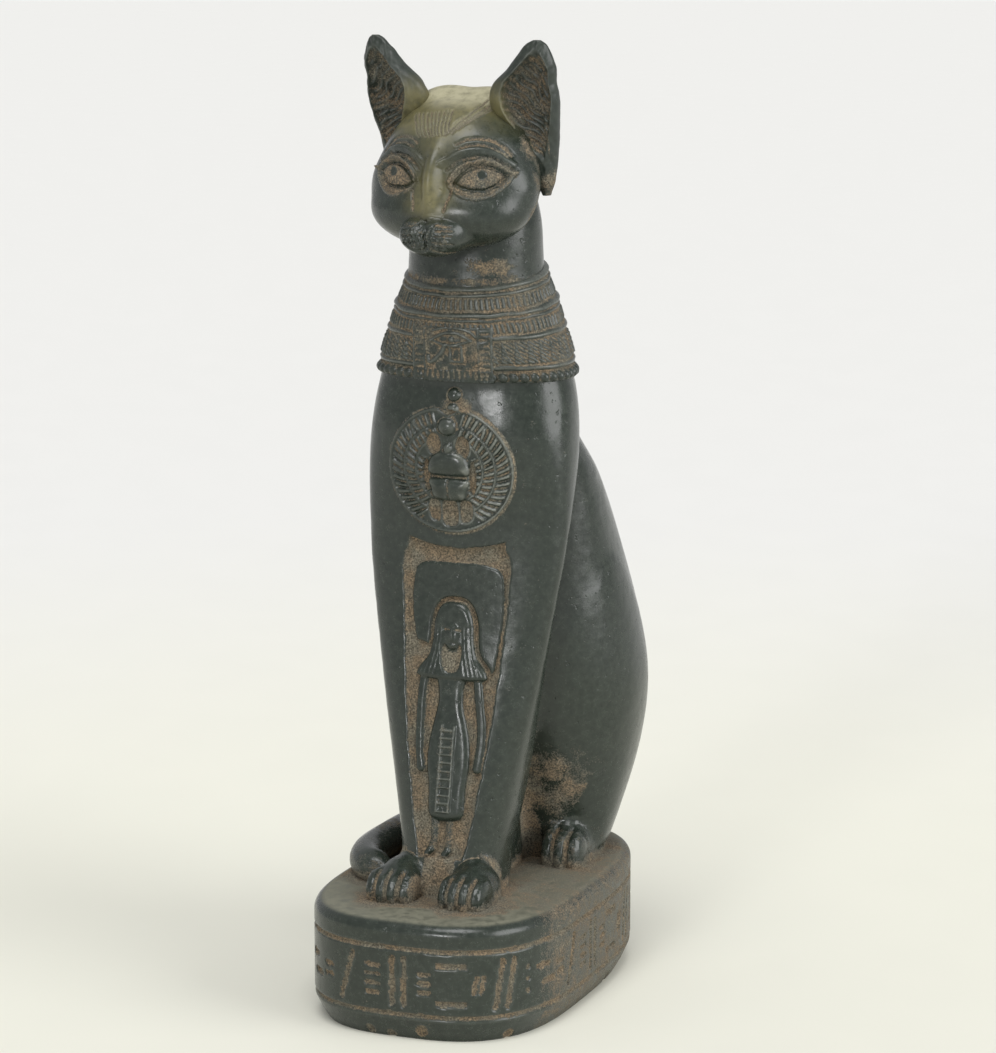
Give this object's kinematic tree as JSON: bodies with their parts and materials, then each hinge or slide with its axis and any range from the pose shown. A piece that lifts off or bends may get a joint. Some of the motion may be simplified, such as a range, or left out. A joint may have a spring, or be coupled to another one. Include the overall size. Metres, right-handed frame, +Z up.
{
  "type": "seated cat figure",
  "caption": "Seated cat in the Bastet manner on an oval plinth, in dark stone with a broad collar, a winged beetle and a standing woman in relief",
  "frame": {"origin": "Middle of the plinth's underside, on the plane that the figure stands on", "axes": "+Z up through the cat, -Y the way the cat's breast faces, +X to the cat's left"},
  "size_m": [0.0708, 0.1082, 0.2465],
  "materials": {
    "black_stone": "rubbed black stone, satin, with brown dust in the carving"
  },
  "bodies": {
    "root": {"seated_cat": "black_stone"}
  },
  "joints": []
}
